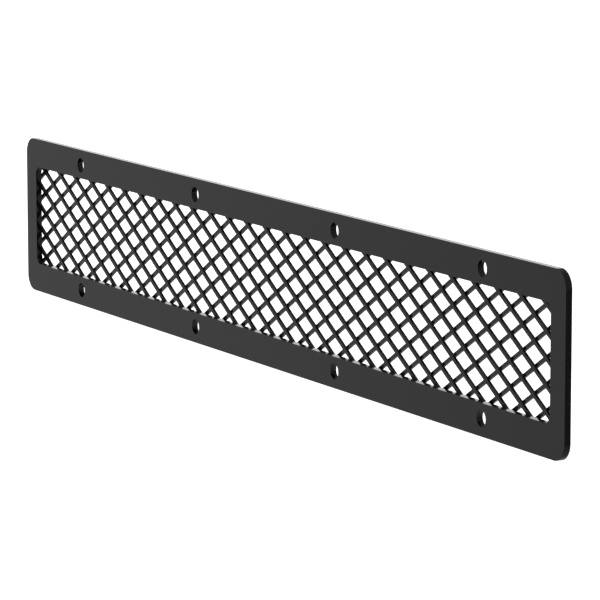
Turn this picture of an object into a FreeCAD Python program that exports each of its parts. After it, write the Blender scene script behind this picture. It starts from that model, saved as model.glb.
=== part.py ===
"""Front grille guard: a flat steel face plate with a long window, filled by a two-layer diamond mesh.

Frame: +X to the right of someone facing the guard, +Z up, +Y backwards towards the vehicle.
Origin: the middle of the face plate, on its back (mounting) face. All sizes are in millimetres.
"""
import FreeCAD
import Part
import math
import os

V = FreeCAD.Vector

# face plate
PLATE_W = 508.0
PLATE_H = 78.0
PLATE_T = 3.0
CORNER_R = 7.75
EDGE_BREAK = 0.12

# window through the plate
WINDOW_W = 486.0
WINDOW_H = 49.5
WINDOW_R = 4.0

# bolt holes: four columns, two rows
HOLE_D = 7.14
HOLE_X_OUTER = 190.5
HOLE_X_INNER = 66.675
HOLE_Z = 31.35

# mesh panel behind the plate: outer size, border rods and bars
PANEL_W = 500.0
PANEL_H = 55.0
ROD_W = 1.75
BAR_W = 1.75
BAR_T = 1.2
LAYERS = 2

# tack welds that hold the border rods to the back of the plate, clear of the bolt holes
TACK_LEG = 1.2
TACK_LENGTH = 8.0
TACK_X = (30.0, 110.0, 150.0, 230.0)
TACK_Z = 12.0

# diamond lattice: pitch along X and Z, and one crossing point
PITCH_X = 18.23
PITCH_Z = 11.0
CROSS_X = -3.0
CROSS_Z = 1.03

# shortest bar worth cutting, measured across its bounding box
MIN_BAR = 5.0

# how far a cutting tool runs past the sheet, and the tolerance for comparing positions
OVERRUN = 1.0
TOL = 1e-6


def slab(width, height, y_front, y_back):
    """Rectangular block centred on X = 0, Z = 0 between two depths."""
    return Part.makeBox(width, y_back - y_front, height, V(-width / 2, y_front, -height / 2))


def edges_along_y(shape):
    """Straight edges that run front to back."""
    found = []
    for edge in shape.Edges:
        a, b = edge.Vertexes[0].Point, edge.Vertexes[-1].Point
        if abs(a.x - b.x) < TOL and abs(a.z - b.z) < TOL and abs(a.y - b.y) > TOL:
            found.append(edge)
    return found


def face_loop_edges(shape, y, half_w, half_h):
    """Edges on the plane Y = y that lie on the outline of a centred rectangle."""
    found = []
    for edge in shape.Edges:
        box = edge.BoundBox
        if abs(box.YMin - y) > TOL or abs(box.YMax - y) > TOL:
            continue
        on_side = max(abs(box.XMin), abs(box.XMax)) > half_w - CORNER_R - TOL
        on_rim = max(abs(box.ZMin), abs(box.ZMax)) > half_h - CORNER_R - TOL
        inside = max(abs(box.XMin), abs(box.XMax)) < half_w + TOL
        if on_side and on_rim and inside:
            found.append(edge)
    return found


def make_face_plate():
    """Sheet with rounded corners and a broken front edge, cut through by the window and the bolt holes."""
    body = slab(PLATE_W, PLATE_H, -PLATE_T, 0.0)
    body = body.makeFillet(CORNER_R, edges_along_y(body))
    body = body.makeFillet(EDGE_BREAK, face_loop_edges(body, -PLATE_T, PLATE_W / 2, PLATE_H / 2))
    window = slab(WINDOW_W, WINDOW_H, -PLATE_T - OVERRUN, OVERRUN)
    window = window.makeFillet(WINDOW_R, edges_along_y(window))
    body = body.cut(window)
    for x in (-HOLE_X_OUTER, -HOLE_X_INNER, HOLE_X_INNER, HOLE_X_OUTER):
        for z in (-HOLE_Z, HOLE_Z):
            start = V(x, -PLATE_T - OVERRUN, z)
            drill = Part.makeCylinder(HOLE_D / 2, PLATE_T + 2 * OVERRUN, start, V(0, 1, 0))
            body = body.cut(drill)
    return body


def make_bar(offset, slope_sign, y_front, inner_w, inner_h):
    """One straight flat bar of the lattice, mitred to the inside of the border.

    offset counts pitches along X from the marked crossing; slope_sign is +1 for bars
    that rise to the right and -1 for bars that fall to the right.
    """
    angle = math.atan2(PITCH_Z, PITCH_X) * slope_sign
    reach = inner_w + inner_h
    bar = Part.makeBox(2 * reach, BAR_T, BAR_W, V(-reach, 0, -BAR_W / 2))
    bar.rotate(V(0, 0, 0), V(0, 1, 0), -math.degrees(angle))
    bar.translate(V(CROSS_X + offset * PITCH_X, y_front, CROSS_Z))
    return bar.common(slab(inner_w, inner_h, y_front, y_front + BAR_T))


def lattice(slope_sign, y_front):
    """All the bars of one layer, split into full-height bars and the short ones at each end."""
    inner_w = PANEL_W - 2 * ROD_W
    inner_h = PANEL_H - 2 * ROD_W
    count = int((inner_w + inner_h * PITCH_X / PITCH_Z) / PITCH_X / 2) + 2
    full, left, right = [], [], []
    for offset in range(-count, count + 1):
        bar = make_bar(offset, slope_sign, y_front, inner_w, inner_h)
        if not bar.Solids:
            continue
        box = bar.BoundBox
        if math.hypot(box.XLength, box.ZLength) < MIN_BAR:
            continue
        if box.ZLength > inner_h - TOL:
            full.append(bar.Solids[0])
        elif box.Center.x < 0:
            left.append(bar.Solids[0])
        else:
            right.append(bar.Solids[0])
    return full, left, right


def make_tack(x, z, outward):
    """Fillet weld in the corner between the plate's back face and the outer face of a border rod.

    outward is the side that the rod's face looks to, in degrees from +X towards +Z.
    """
    corner = Part.makePolygon([V(0, 0, 0), V(0, TACK_LEG, 0), V(TACK_LEG, 0, 0), V(0, 0, 0)])
    bead = Part.Face(corner).extrude(V(0, 0, TACK_LENGTH))
    bead.translate(V(0, 0, -TACK_LENGTH / 2))
    bead.rotate(V(0, 0, 0), V(0, 1, 0), -outward)
    bead.translate(V(x, 0, z))
    return bead


def make_tacks():
    """Four beads along each half of the long rods, top and bottom, and two on each short rod."""
    beads = []
    for x in [side * step for side in (-1, 1) for step in TACK_X]:
        beads.append(make_tack(x, PANEL_H / 2, 90))
        beads.append(make_tack(x, -PANEL_H / 2, -90))
    for z in (-TACK_Z, TACK_Z):
        beads.append(make_tack(PANEL_W / 2, z, 0))
        beads.append(make_tack(-PANEL_W / 2, z, 180))
    return Part.makeCompound(beads)


def save(name, shape):
    shape.exportStep("parts/" + name + ".step")


os.makedirs("parts", exist_ok=True)

save("face_plate", make_face_plate())

# border rods: the long ones run the full panel width, the short ones fit between them
depth = LAYERS * BAR_T
side_h = PANEL_H - 2 * ROD_W
save("edge_rod_top", Part.makeBox(PANEL_W, depth, ROD_W, V(-PANEL_W / 2, 0, PANEL_H / 2 - ROD_W)))
save("edge_rod_bottom", Part.makeBox(PANEL_W, depth, ROD_W, V(-PANEL_W / 2, 0, -PANEL_H / 2)))
save("edge_rod_left", Part.makeBox(ROD_W, depth, side_h, V(-PANEL_W / 2, 0, -side_h / 2)))
save("edge_rod_right", Part.makeBox(ROD_W, depth, side_h, V(PANEL_W / 2 - ROD_W, 0, -side_h / 2)))

save("tack_welds", make_tacks())

# front layer falls to the right, rear layer rises to the right and lies across it
for layer_name, slope_sign, y_front in (("front_bar", -1, 0.0), ("rear_bar", 1, BAR_T)):
    full, left, right = lattice(slope_sign, y_front)
    for number, bar in enumerate(full, start=1):
        save("%s_%02d" % (layer_name, number), bar)
    save(layer_name + "s_left_corner", Part.makeCompound(left))
    save(layer_name + "s_right_corner", Part.makeCompound(right))
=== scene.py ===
"""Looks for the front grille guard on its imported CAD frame: powder coat, tack welds, soft studio, camera."""
import bmesh
import bpy
import math
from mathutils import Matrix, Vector


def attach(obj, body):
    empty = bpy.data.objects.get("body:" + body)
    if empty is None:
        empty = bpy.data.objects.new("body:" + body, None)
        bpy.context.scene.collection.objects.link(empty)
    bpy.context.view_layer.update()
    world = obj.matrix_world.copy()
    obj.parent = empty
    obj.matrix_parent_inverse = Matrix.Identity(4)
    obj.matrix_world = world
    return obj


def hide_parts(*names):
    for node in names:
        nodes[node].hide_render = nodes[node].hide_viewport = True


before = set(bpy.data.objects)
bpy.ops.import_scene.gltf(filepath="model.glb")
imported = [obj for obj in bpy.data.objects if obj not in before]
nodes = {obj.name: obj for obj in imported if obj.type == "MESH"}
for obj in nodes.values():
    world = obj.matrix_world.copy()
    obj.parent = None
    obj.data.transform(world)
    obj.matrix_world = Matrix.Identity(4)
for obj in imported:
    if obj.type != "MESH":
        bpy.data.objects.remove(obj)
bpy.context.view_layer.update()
scene = bpy.context.scene

# All sizes and places are in metres.

# rounding that the powder coat gives to the cut edges
PLATE_BEVEL = 0.00010
BAR_BEVEL = 0.00008
BEVEL_ANGLE = math.radians(40)

# powder coat: the darker and the lighter pigment black, the refractive index and the depth of each relief
INK = (0.0004, 0.0004, 0.0004)
SOOT = (0.0050, 0.0050, 0.0054)
COAT_IOR = 1.45
PEEL_DEPTH = 0.00005
GRAIN_DEPTH = 0.000008
CUT_MARK_DEPTH = 0.00002

# tack welds: the outer faces of the border rods, where the beads sit along them, and a bead's size and shape
ROD_FACE_Z = 0.0275
ROD_FACE_X = 0.2500
TACK_X = (0.030, 0.110, 0.150, 0.230)
TACK_Z = 0.012
TACK_LEG = 0.0012
TACK_LENGTH = 0.008
RIPPLES = 5
RIPPLE_DEPTH = 0.10
TIP_SHARE = 0.04
CROWN_LOW = 0.80
BEAD_STEPS = 40
BEAD_AROUND = 9

# stage: floor, card and wall, the glow of each, and where the card's dark corner begins along X and Y
FLOOR_Z = -0.039
FLOOR_SIZE = 14.0
CARD_DROP = 0.001
FLOOR_GLOW = 0.95
WALL_GLOW = 1.0
CARD_GLOW = 0.445
FLAG_GLOW = 0.105
FLAG_X = (0.22, 0.27)
FLAG_Y = (-0.01, 0.02)
RING_RADIUS = 4.2
RING_HEIGHT = 6.0
STAGE_GREY = (0.86, 0.86, 0.86)
STAGE_MOTTLE = (0.8471, 0.8471, 0.8471)
STAGE_ROUGHNESS = 0.85
STAGE_SHEEN = 0.1
WORLD_GREY = (0.28, 0.28, 0.28)

# camera: where it stands, what it looks at, and its lens and sensor width in millimetres
CAMERA_AT = (1.5208, -0.8196, 0.2731)
CAMERA_AIM = (0.0299, 0.0, -0.0050)
CAMERA_LENS = 230.8
SENSOR_WIDTH = 36.0
FARTHEST_VIEW = 100.0


# ---------------------------------------------------------------- material parts
def add(tree, kind, **inputs):
    """New shader node; an underscore in an input's name stands for a space."""
    node = tree.nodes.new(kind)
    for name, value in inputs.items():
        node.inputs[name.replace("_", " ")].default_value = value
    return node


def new_material(name):
    """Material with its node tree and its shader node."""
    material = bpy.data.materials.new(name)
    material.use_nodes = True
    return material, material.node_tree, material.node_tree.nodes["Principled BSDF"]


def object_place(tree):
    return tree.nodes.new("ShaderNodeTexCoord").outputs["Object"]


def ramp(tree, source, low, high, at=(0.0, 1.0)):
    """Colour that runs from low to high while the source runs between the two values of at."""
    node = tree.nodes.new("ShaderNodeValToRGB")
    for element, position, colour in zip(node.color_ramp.elements, at, (low, high)):
        element.position = position
        element.color = (*colour, 1.0)
    tree.links.new(source, node.inputs["Fac"])
    return node.outputs["Color"]


def texture(tree, place, scale, detail, roughness, stretch=None):
    """Noise in object space; stretch squeezes the pattern along X, Y and Z."""
    noise = add(tree, "ShaderNodeTexNoise", Scale=scale, Detail=detail, Roughness=roughness)
    source = place
    if stretch:
        mapping = add(tree, "ShaderNodeMapping", Scale=stretch)
        tree.links.new(place, mapping.inputs["Vector"])
        source = mapping.outputs["Vector"]
    tree.links.new(source, noise.inputs["Vector"])
    return noise.outputs["Fac"]


def bump(tree, height, strength, distance, under=None):
    """Relief on top of the relief under it; strength is a number or another node's output."""
    node = add(tree, "ShaderNodeBump", Distance=distance)
    if isinstance(strength, float):
        node.inputs["Strength"].default_value = strength
    else:
        tree.links.new(strength, node.inputs["Strength"])
    tree.links.new(height, node.inputs["Height"])
    if under:
        tree.links.new(under, node.inputs["Normal"])
    return node.outputs["Normal"]


def cut_wall_mask(tree):
    """1 on the walls that a laser cut through the sheet, 0 on the flat front and back."""
    split = tree.nodes.new("ShaderNodeSeparateXYZ")
    tree.links.new(tree.nodes.new("ShaderNodeNewGeometry").outputs["Normal"], split.inputs["Vector"])
    flatness = tree.nodes.new("ShaderNodeMath")
    flatness.operation = "ABSOLUTE"
    tree.links.new(split.outputs["Y"], flatness.inputs[0])
    mask = add(tree, "ShaderNodeMapRange", From_Min=0.6, From_Max=0.2)
    tree.links.new(flatness.outputs["Value"], mask.inputs["Value"])
    return mask.outputs["Result"]


# ---------------------------------------------------------------- powder coat
def powder_coat(name, rough_low, rough_high, peel):
    """Glossy black powder coat: pigment speckle, uneven gloss, orange peel, fine grain and cut marks."""
    material, tree, shader = new_material(name)
    place = object_place(tree)

    speckle = texture(tree, place, scale=1300.0, detail=6.0, roughness=0.7)
    tree.links.new(ramp(tree, speckle, INK, SOOT, (0.38, 0.72)), shader.inputs["Base Color"])
    haze = texture(tree, place, scale=60.0, detail=5.0, roughness=0.65)
    gloss = ramp(tree, haze, (rough_low,) * 3, (rough_high,) * 3, (0.35, 0.65))
    tree.links.new(gloss, shader.inputs["Roughness"])

    dimples = texture(tree, place, scale=480.0, detail=2.0, roughness=0.4)
    orange_peel = bump(tree, dimples, peel, PEEL_DEPTH)
    grains = texture(tree, place, scale=2600.0, detail=2.0, roughness=0.5)
    grain = bump(tree, grains, peel, GRAIN_DEPTH, orange_peel)
    streaks = texture(tree, place, scale=1500.0, detail=3.0, roughness=0.6, stretch=(1.0, 0.05, 1.0))
    cut_marks = bump(tree, streaks, cut_wall_mask(tree), CUT_MARK_DEPTH, grain)
    tree.links.new(cut_marks, shader.inputs["Normal"])
    shader.inputs["IOR"].default_value = COAT_IOR
    return material


plate_coat = powder_coat("plate_powder_coat", rough_low=0.05, rough_high=0.11, peel=0.40)
mesh_coat = powder_coat("mesh_powder_coat", rough_low=0.08, rough_high=0.15, peel=0.40)
rod_coat = powder_coat("rod_powder_coat", rough_low=0.11, rough_high=0.20, peel=0.55)


def material_for(node_name):
    if node_name == "face_plate":
        return plate_coat
    if node_name.startswith("edge_rod") or node_name == "tack_welds":
        return rod_coat
    return mesh_coat


# softened edges, as powder coat rounds every laser-cut or sheared edge
for name, part in nodes.items():
    part.data.materials.clear()
    part.data.materials.append(material_for(name))
    bevel = part.modifiers.new("coated_edges", "BEVEL")
    bevel.width = PLATE_BEVEL if name == "face_plate" else BAR_BEVEL
    bevel.segments = 2
    bevel.limit_method = "ANGLE"
    bevel.angle_limit = BEVEL_ANGLE
    bevel.harden_normals = True


# ---------------------------------------------------------------- tack welds
def object_from(form, name):
    """Finish a bmesh as a named object in the scene."""
    mesh = bpy.data.meshes.new(name)
    form.to_mesh(mesh)
    form.free()
    piece = bpy.data.objects.new(name, mesh)
    scene.collection.objects.link(piece)
    return piece


def bead(form, corner, along, outward):
    """Rippled fillet bead in the corner between the plate's back (the plane Y = 0) and a rod's outer face."""
    rings = []
    for step in range(BEAD_STEPS + 1):
        t = step / BEAD_STEPS
        swell = math.sqrt(max(0.0, 1 - (2 * t - 1) ** 4))
        ripple = 1 - RIPPLE_DEPTH * (0.5 + 0.5 * math.cos(2 * math.pi * RIPPLES * t))
        reach = TACK_LEG * (TIP_SHARE + (1 - TIP_SHARE) * swell * ripple)
        centre = Vector(corner) + Vector(along) * TACK_LENGTH * (t - 0.5)
        ring = [form.verts.new(centre)]
        for k in range(BEAD_AROUND + 1):
            turn = math.pi / 2 * k / BEAD_AROUND
            crown = CROWN_LOW + (1 - CROWN_LOW) * abs(math.cos(2 * turn))
            side = Vector(outward) * math.cos(turn) + Vector((0.0, 1.0, 0.0)) * math.sin(turn)
            ring.append(form.verts.new(centre + side * reach * crown))
        rings.append(ring)
    for a, b in zip(rings, rings[1:]):
        for k in range(len(a)):
            form.faces.new((a[k - 1], a[k], b[k], b[k - 1])).smooth = True
    form.faces.new(rings[0])
    form.faces.new(rings[-1][::-1])


def tack_welds():
    form = bmesh.new()
    for side in (-1, 1):
        for x in TACK_X:
            for edge in (-1, 1):
                bead(form, (side * x, 0.0, edge * ROD_FACE_Z), (1, 0, 0), (0, 0, edge))
        for z in (-TACK_Z, TACK_Z):
            bead(form, (side * ROD_FACE_X, 0.0, z), (0, 0, 1), (side, 0, 0))
    bmesh.ops.recalc_face_normals(form, faces=form.faces)
    piece = object_from(form, "tack_weld_beads")
    piece.data.materials.append(rod_coat)
    return piece


beads = tack_welds()
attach(beads, "root")
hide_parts("tack_welds")


# ---------------------------------------------------------------- stage
def plain_material(name, glow):
    """Pale, dull and faintly mottled, with a glow of its own."""
    material, tree, shader = new_material(name)
    mottle = texture(tree, object_place(tree), scale=3.0, detail=3.0, roughness=0.5)
    tree.links.new(ramp(tree, mottle, STAGE_MOTTLE, STAGE_GREY), shader.inputs["Base Color"])
    shader.inputs["Roughness"].default_value = STAGE_ROUGHNESS
    shader.inputs["Specular IOR Level"].default_value = STAGE_SHEEN
    shader.inputs["Emission Color"].default_value = (1.0, 1.0, 1.0, 1.0)
    shader.inputs["Emission Strength"].default_value = glow
    return material


def card_glow(name):
    """Dim light for the reflection card, with a soft-edged dark flag where both X and Y are large."""
    material, tree, shader = new_material(name)
    shader.inputs["Base Color"].default_value = (0.0, 0.0, 0.0, 1.0)
    shader.inputs["Emission Strength"].default_value = 1.0
    split = tree.nodes.new("ShaderNodeSeparateXYZ")
    tree.links.new(object_place(tree), split.inputs["Vector"])
    overlap = tree.nodes.new("ShaderNodeMath")
    overlap.operation = "MULTIPLY"
    for socket, axis, (start, end) in zip(overlap.inputs, ("X", "Y"), (FLAG_X, FLAG_Y)):
        fade = add(tree, "ShaderNodeMapRange", From_Min=start, From_Max=end)
        tree.links.new(split.outputs[axis], fade.inputs["Value"])
        tree.links.new(fade.outputs["Result"], socket)
    glow = ramp(tree, overlap.outputs["Value"], (CARD_GLOW,) * 3, (FLAG_GLOW,) * 3)
    tree.links.new(glow, shader.inputs["Emission Color"])
    return material


def plane(name, level, material):
    bpy.ops.mesh.primitive_plane_add(size=FLOOR_SIZE, location=(0.0, 0.0, level))
    piece = bpy.context.object
    piece.name = name
    piece.data.materials.append(material)
    return piece


def backdrop_ring(segments=96):
    """Pale wall round the stage, so that low views end on the same plain surface as the floor."""
    form = bmesh.new()
    rings = []
    for level in (FLOOR_Z, FLOOR_Z + RING_HEIGHT):
        turns = [2 * math.pi * k / segments for k in range(segments)]
        points = [(RING_RADIUS * math.cos(t), RING_RADIUS * math.sin(t), level) for t in turns]
        rings.append([form.verts.new(point) for point in points])
    for k in range(segments):
        form.faces.new((rings[0][k], rings[0][k - 1], rings[1][k - 1], rings[1][k]))
    return object_from(form, "backdrop")


# the camera sees the bright floor, and reflections see the dimmer card just under it
floor = plane("floor", FLOOR_Z, plain_material("pale_floor", FLOOR_GLOW))
floor.visible_glossy = False

card = plane("reflection_card", FLOOR_Z - CARD_DROP, card_glow("card_glow"))
card.visible_camera = False
card.visible_diffuse = False
card.visible_shadow = False

# the wall is for the camera only: it lights nothing and isn't reflected
backdrop = backdrop_ring()
backdrop.visible_diffuse = False
backdrop.visible_glossy = False
backdrop.visible_shadow = False
backdrop.data.materials.append(plain_material("pale_wall", WALL_GLOW))

world = bpy.data.worlds.new("studio")
scene.world = world
world.use_nodes = True
world.node_tree.nodes["Background"].inputs["Color"].default_value = (*WORLD_GREY, 1.0)
world.node_tree.nodes["Background"].inputs["Strength"].default_value = 1.0


def aim(piece, at, target):
    """Put a camera or a light somewhere and turn it to look at the target."""
    piece.location = at
    piece.rotation_euler = (Vector(target) - Vector(at)).to_track_quat("-Z", "Y").to_euler()


def softbox(name, at, target, width, height, radiance):
    """Rectangular light of a given surface radiance, hidden from the camera."""
    data = bpy.data.lights.new(name, "AREA")
    data.shape = "RECTANGLE"
    data.size = width
    data.size_y = height
    data.energy = radiance * math.pi * width * height
    light = bpy.data.objects.new(name, data)
    scene.collection.objects.link(light)
    aim(light, at, target)
    light.visible_camera = False


softbox("key_above", at=(-0.5, -1.0, 2.8), target=(-0.5, -1.0, 0.0), width=4.6, height=2.4, radiance=0.6)
softbox("rim_behind", at=(-2.6, 1.45, 0.6), target=(0.0, 0.0, 0.1), width=3.2, height=1.3, radiance=0.95)
softbox("front_fill", at=(-1.0, -3.0, 1.2), target=(-0.2, 0.0, 0.0), width=3.0, height=1.4, radiance=1.0)
softbox("back_fill", at=(0.6, 3.0, 1.5), target=(0.0, 0.0, 0.0), width=3.0, height=1.6, radiance=1.8)

# ---------------------------------------------------------------- camera
camera_data = bpy.data.cameras.new("camera")
camera_data.lens = CAMERA_LENS
camera_data.sensor_width = SENSOR_WIDTH
camera_data.clip_end = FARTHEST_VIEW
camera = bpy.data.objects.new("camera", camera_data)
scene.collection.objects.link(camera)
aim(camera, CAMERA_AT, CAMERA_AIM)
scene.camera = camera
scene.view_settings.view_transform = "Standard"
